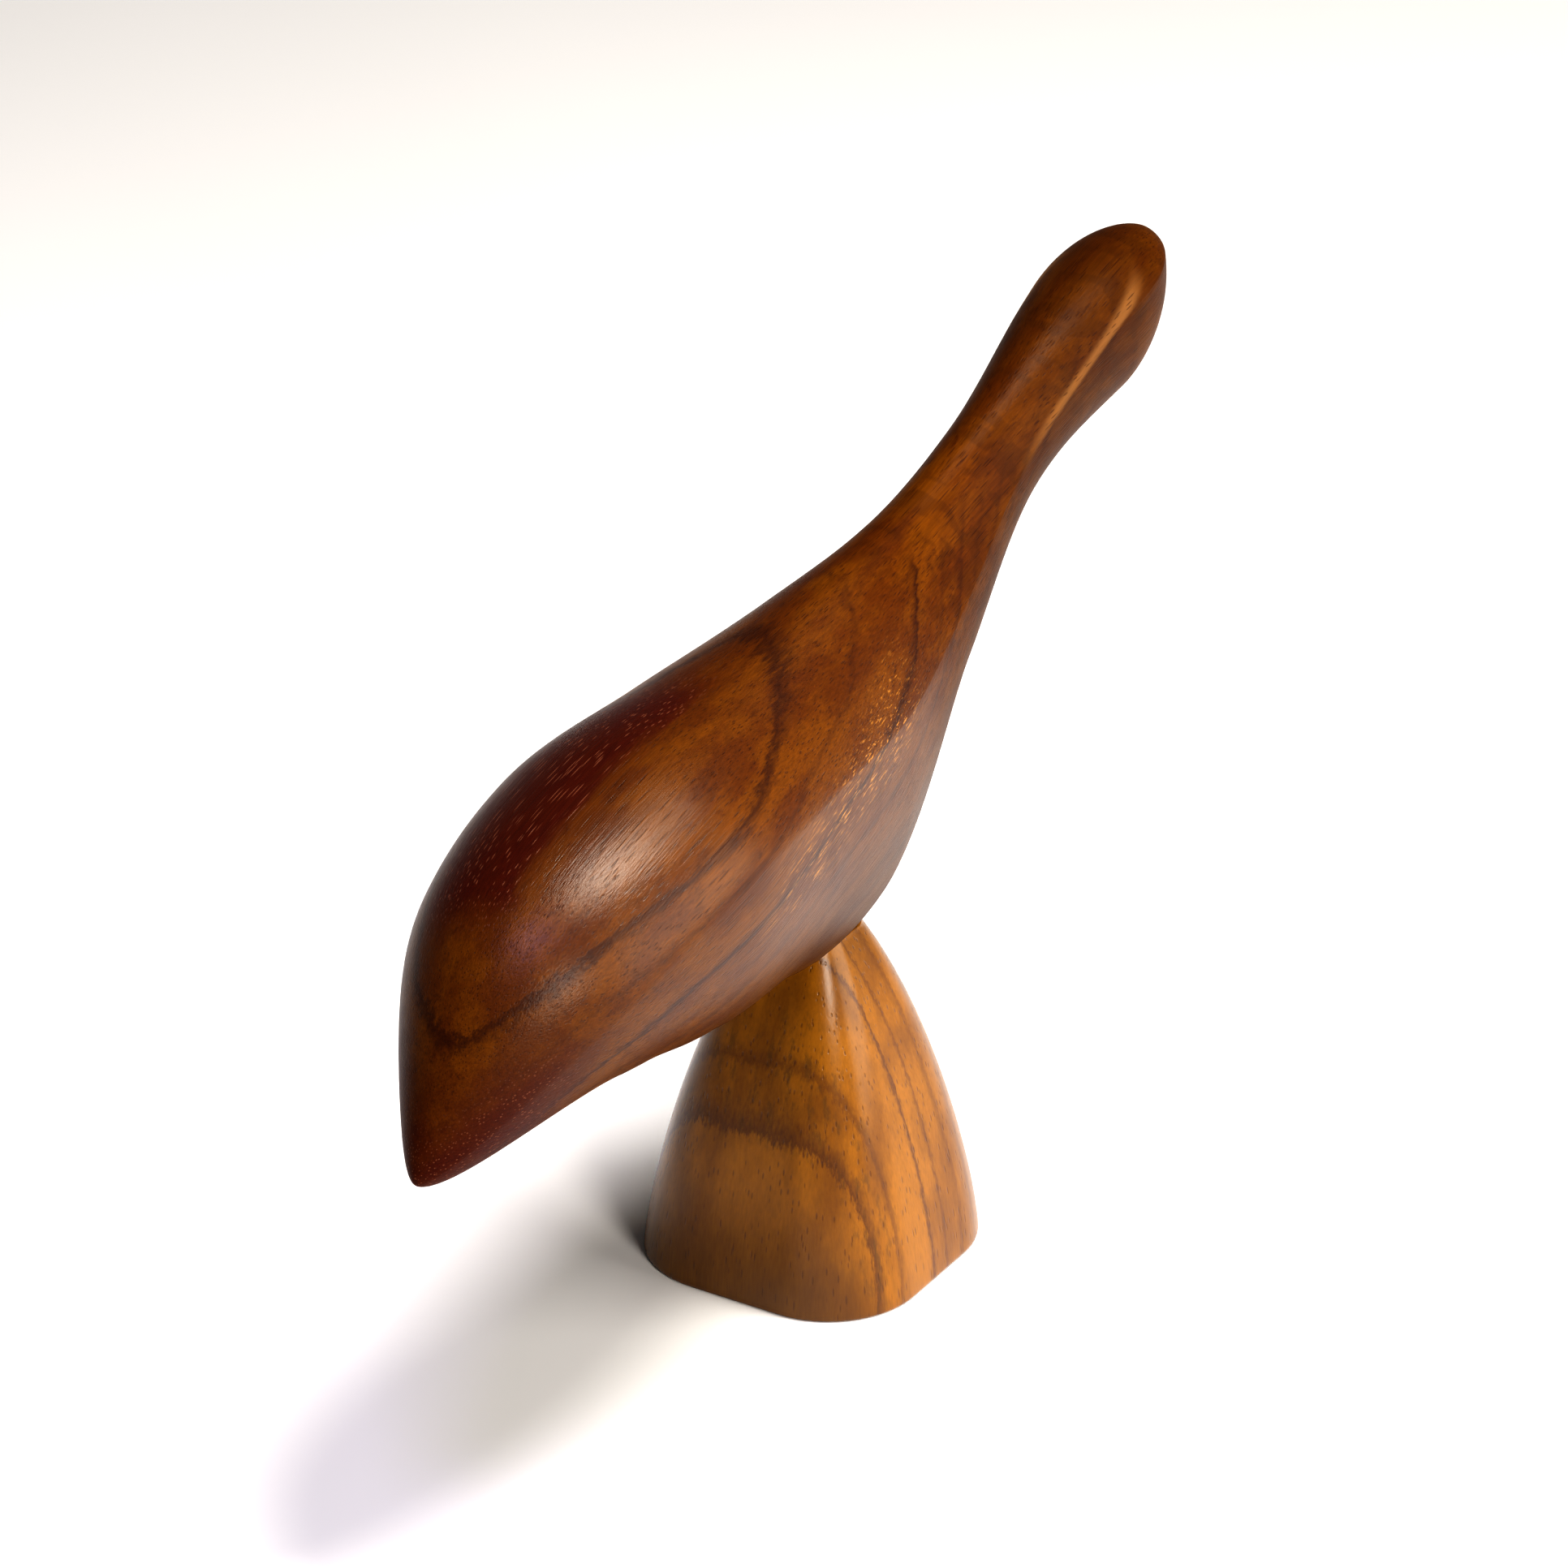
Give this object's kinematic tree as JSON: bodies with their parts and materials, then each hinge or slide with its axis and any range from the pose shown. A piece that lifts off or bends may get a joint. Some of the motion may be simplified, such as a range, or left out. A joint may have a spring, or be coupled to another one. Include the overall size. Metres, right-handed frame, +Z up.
{
  "type": "carved bird figure on a stand",
  "caption": "Carved wooden bird with a long raised neck and a drooping tail, resting by its belly on a domed wooden stand and held by a hidden peg.",
  "frame": {"origin": "centre of the stand's flat foot", "axes": "+X the way the bird faces, +Z up, XZ the mirror plane"},
  "size_m": [0.2186, 0.048, 0.1404],
  "materials": {
    "stand_wood": "golden brown wood with vertical grain, satin varnish",
    "peg_wood": "pale bare hardwood",
    "bird_wood": "reddish brown figured wood, satin varnish"
  },
  "bodies": {
    "stand": {"stand": "stand_wood"},
    "peg": {"peg": "peg_wood"},
    "bird": {"bird": "bird_wood"}
  },
  "joints": [
    {"name": "bird_turn", "type": "hinge", "parent": "stand", "child": "peg", "pos_m": [0, 0, 0.058], "axis": [0, 0, 1], "continuous": true},
    {"name": "bird_lift", "type": "slide", "parent": "peg", "child": "bird", "axis": [0, 0, 1], "range_m": [0, 0.016]}
  ]
}
